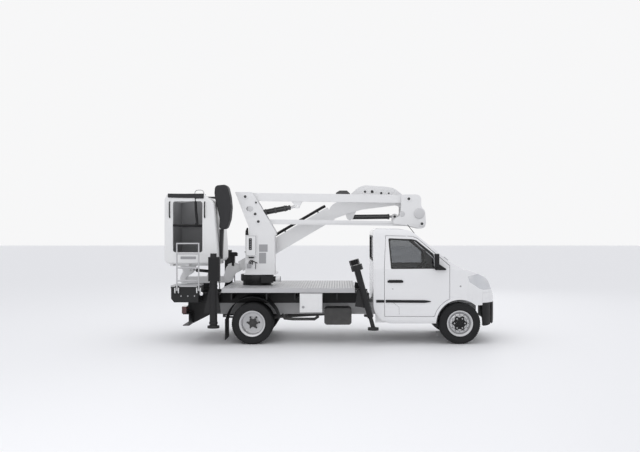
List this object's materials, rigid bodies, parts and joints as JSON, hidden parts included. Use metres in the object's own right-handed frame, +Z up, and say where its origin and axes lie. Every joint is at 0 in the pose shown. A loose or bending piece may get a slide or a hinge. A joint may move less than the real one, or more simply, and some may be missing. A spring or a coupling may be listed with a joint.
{
  "type": "truck-mounted boom lift",
  "caption": "Small cab truck with a tread-plate deck, jack legs, slewing turret, two-part folding boom, jib and a stowed work basket behind.",
  "frame": {"origin": "on the ground under the middle of the whole machine", "axes": "+X the way the truck faces, +Y its left side, +Z up"},
  "size_m": [5.29, 1.97, 2.5344],
  "materials": {
    "cab_paint": "smooth gloss white paint",
    "boom_paint": "satin off-white machine paint",
    "basket_white": "moulded white glass fibre",
    "chassis_grey": "satin dark grey paint",
    "frame_black": "satin black paint",
    "deck_tread": "tread plate aluminium",
    "trim_black": "grained black plastic",
    "console_grey": "dark grey moulded plastic",
    "window_glass": "lightly tinted glass",
    "lamp_lens": "clear and red lamp lenses",
    "seat_cloth": "dark woven seat cloth",
    "tyre_rubber": "black tyre rubber",
    "rim_silver": "silver painted steel",
    "cylinder_black": "gloss black paint",
    "rod_chrome": "hard chrome",
    "axle_steel": "black painted casting",
    "tank_black": "black moulded tank",
    "ladder_tube": "galvanised tube",
    "box_white": "white powder coat"
  },
  "bodies": {
    "truck": {"cab_shell": "cab_paint", "cab_glass": "window_glass", "front_bumper": "cab_paint", "front_trim": "trim_black", "lamps": "lamp_lens", "seats": "seat_cloth", "dashboard": "trim_black", "engine_block": "axle_steel", "front_axle": "axle_steel", "rear_axle": "axle_steel", "chassis_frame": "chassis_grey", "subframe": "frame_black", "deck": "deck_tread", "fuel_tank": "tank_black", "toolbox": "box_white", "mudguards": "trim_black", "rear_frame": "frame_black", "outrigger_frames": "frame_black", "slew_ring": "frame_black"},
    "bonnet": {"bonnet": "cab_paint"},
    "door_left": {"door_left": "cab_paint", "door_glass_left": "window_glass", "door_trim_left": "trim_black"},
    "door_right": {"door_right": "cab_paint", "door_glass_right": "window_glass", "door_trim_right": "trim_black"},
    "toolbox_door": {"toolbox_door": "box_white"},
    "ladder": {"ladder": "ladder_tube"},
    "knuckle_left": {"knuckle_left": "axle_steel"},
    "knuckle_right": {"knuckle_right": "axle_steel"},
    "wheel_front_left": {"tyre_front_left": "tyre_rubber", "rim_front_left": "rim_silver"},
    "wheel_front_right": {"tyre_front_right": "tyre_rubber", "rim_front_right": "rim_silver"},
    "wheels_rear_left": {"tyres_rear_left": "tyre_rubber", "rim_rear_left": "rim_silver"},
    "wheels_rear_right": {"tyres_rear_right": "tyre_rubber", "rim_rear_right": "rim_silver"},
    "turret": {"turret": "boom_paint"},
    "lower_arm": {"lower_arm": "boom_paint"},
    "lower_link": {"lower_link": "boom_paint"},
    "elbow": {"elbow": "boom_paint"},
    "lift_barrel": {"lift_barrel": "cylinder_black"},
    "lift_rod": {"lift_rod": "rod_chrome"},
    "boom": {"boom": "boom_paint"},
    "boom_barrel": {"boom_barrel": "cylinder_black"},
    "boom_rod": {"boom_rod": "rod_chrome"},
    "boom_inner": {"boom_inner": "boom_paint"},
    "boom_head": {"boom_head": "boom_paint"},
    "jib": {"jib": "boom_paint"},
    "level_barrel": {"level_barrel": "cylinder_black"},
    "level_rod": {"level_rod": "rod_chrome"},
    "basket": {"basket_bracket": "boom_paint", "basket_shell": "basket_white", "basket_rails": "trim_black", "console_hood": "console_grey"},
    "jack_front_left": {"leg_front_left": "frame_black"},
    "jack_front_right": {"leg_front_right": "frame_black"},
    "jack_rear_left": {"leg_rear_left": "frame_black"},
    "jack_rear_right": {"leg_rear_right": "frame_black"}
  },
  "joints": [
    {"name": "slew", "type": "hinge", "parent": "truck", "child": "turret", "pos_m": [-1.23, 0, 1], "axis": [0, 0, -1], "range_deg": [0, 180]},
    {"name": "arm_lift", "type": "hinge", "parent": "turret", "child": "lower_arm", "pos_m": [-1.402, -0.13, 2.333], "axis": [0, -1, 0], "range_deg": [0, 75]},
    {"name": "link_lift", "type": "hinge", "parent": "turret", "child": "lower_link", "pos_m": [-1.187, -0.13, 1.925], "axis": [0, -1, 0], "range_deg": [0, 75]},
    {"name": "elbow_level", "type": "hinge", "parent": "lower_arm", "child": "elbow", "pos_m": [1.276, -0.13, 2.297], "axis": [0, 1, 0], "range_deg": [0, 75]},
    {"name": "lift_barrel_swing", "type": "hinge", "parent": "turret", "child": "lift_barrel", "pos_m": [-1.238, -0.13, 2.049], "axis": [0, -1, 0], "range_deg": [0, 69]},
    {"name": "lift_rod_slide", "type": "slide", "parent": "lift_barrel", "child": "lift_rod", "axis": [0.9819, 0, 0.1892], "range_m": [0, 0.39]},
    {"name": "boom_lift", "type": "hinge", "parent": "elbow", "child": "boom", "pos_m": [1.446, 0.14, 2.057], "axis": [0, 1, 0], "range_deg": [0, 105]},
    {"name": "boom_barrel_swing", "type": "hinge", "parent": "boom", "child": "boom_barrel", "pos_m": [0.317, 0.14, 2.002], "axis": [0, 1, 0], "range_deg": [0, 21.5]},
    {"name": "boom_rod_slide", "type": "slide", "parent": "boom_barrel", "child": "boom_rod", "axis": [0.9999, 0, 0.012], "range_m": [0, 0.56]},
    {"name": "telescope", "type": "slide", "parent": "boom", "child": "boom_inner", "axis": [-0.8625, 0, -0.506], "range_m": [0, 1.1]},
    {"name": "head_level", "type": "hinge", "parent": "boom_inner", "child": "boom_head", "pos_m": [-1.6, 0.14, 1.126], "axis": [0, -1, 0], "range_deg": [0, 105]},
    {"name": "jib_lift", "type": "hinge", "parent": "boom_head", "child": "jib", "pos_m": [-1.735, 0.14, 0.955], "axis": [0, 1, 0], "range_deg": [0, 42.5]},
    {"name": "level_barrel_swing", "type": "hinge", "parent": "jib", "child": "level_barrel", "pos_m": [-2.02, 0.14, 1.085], "axis": [0, 1, 0], "range_deg": [0, 4.5]},
    {"name": "level_rod_slide", "type": "slide", "parent": "level_barrel", "child": "level_rod", "axis": [-0.9959, 0, 0.0905], "range_m": [0, 0.16]},
    {"name": "basket_level", "type": "hinge", "parent": "jib", "child": "basket", "pos_m": [-2.487, 0.14, 0.943], "axis": [0, -1, 0], "range_deg": [0, 42.5]},
    {"name": "bonnet", "type": "hinge", "parent": "truck", "child": "bonnet", "pos_m": [1.909, 0, 1.266], "axis": [0, -1, 0], "range_deg": [0, 55]},
    {"name": "door_left", "type": "hinge", "parent": "truck", "child": "door_left", "pos_m": [1.862, 0.832, 0.8], "axis": [0, 0, -1], "range_deg": [0, 68]},
    {"name": "door_right", "type": "hinge", "parent": "truck", "child": "door_right", "pos_m": [1.862, -0.832, 0.8], "axis": [0, 0, 1], "range_deg": [0, 68]},
    {"name": "toolbox_door", "type": "hinge", "parent": "truck", "child": "toolbox_door", "pos_m": [-0.305, -0.859, 0.505], "axis": [1, 0, 0], "range_deg": [0, 90]},
    {"name": "ladder_fold", "type": "hinge", "parent": "truck", "child": "ladder", "pos_m": [-2.22, -0.88, 0.855], "axis": [1, 0, 0], "range_deg": [0, 170]},
    {"name": "steer_left", "type": "hinge", "parent": "truck", "child": "knuckle_left", "pos_m": [2.025, 0.66, 0.325], "axis": [0, 0, 1], "range_deg": [-35, 35]},
    {"name": "steer_right", "type": "hinge", "parent": "truck", "child": "knuckle_right", "pos_m": [2.025, -0.66, 0.325], "axis": [0, 0, 1], "range_deg": [-35, 35]},
    {"name": "spin_front_left", "type": "hinge", "parent": "knuckle_left", "child": "wheel_front_left", "pos_m": [2.025, 0.71, 0.325], "axis": [0, 1, 0], "continuous": true},
    {"name": "spin_rear_left", "type": "hinge", "parent": "truck", "child": "wheels_rear_left", "pos_m": [-1.225, 0.635, 0.325], "axis": [0, 1, 0], "continuous": true},
    {"name": "jack_rear_left", "type": "slide", "parent": "truck", "child": "jack_rear_left", "axis": [0, 0, -1], "range_m": [0, 0.45]},
    {"name": "jack_front_left", "type": "slide", "parent": "truck", "child": "jack_front_left", "axis": [0.2639, 0, -0.9646], "range_m": [0, 0.45]},
    {"name": "spin_front_right", "type": "hinge", "parent": "knuckle_right", "child": "wheel_front_right", "pos_m": [2.025, -0.71, 0.325], "axis": [0, 1, 0], "continuous": true},
    {"name": "spin_rear_right", "type": "hinge", "parent": "truck", "child": "wheels_rear_right", "pos_m": [-1.225, -0.635, 0.325], "axis": [0, 1, 0], "continuous": true},
    {"name": "jack_rear_right", "type": "slide", "parent": "truck", "child": "jack_rear_right", "axis": [0, 0, -1], "range_m": [0, 0.45]},
    {"name": "jack_front_right", "type": "slide", "parent": "truck", "child": "jack_front_right", "axis": [0.2639, 0, -0.9646], "range_m": [0, 0.45]}
  ],
  "couplings": [
    {"joint": "slew", "follows": "arm_lift", "ratio": 2.4},
    {"joint": "link_lift", "follows": "arm_lift", "ratio": 1},
    {"joint": "elbow_level", "follows": "arm_lift", "ratio": 1},
    {"joint": "lift_barrel_swing", "follows": "arm_lift", "ratio": 0.911},
    {"joint": "lift_rod_slide", "follows": "arm_lift", "m_per_rad": 0.2957},
    {"joint": "boom_barrel_swing", "follows": "boom_lift", "ratio": 0.2},
    {"joint": "boom_rod_slide", "follows": "boom_lift", "m_per_rad": 0.301},
    {"joint": "telescope", "follows": "boom_lift", "m_per_rad": 0.6},
    {"joint": "head_level", "follows": "boom_lift", "ratio": 1},
    {"joint": "jib_lift", "follows": "boom_lift", "ratio": 0.4},
    {"joint": "level_barrel_swing", "follows": "boom_lift", "ratio": 0.04},
    {"joint": "level_rod_slide", "follows": "boom_lift", "m_per_rad": 0.0846},
    {"joint": "basket_level", "follows": "boom_lift", "ratio": 0.4},
    {"joint": "steer_right", "follows": "steer_left", "ratio": 1}
  ]
}
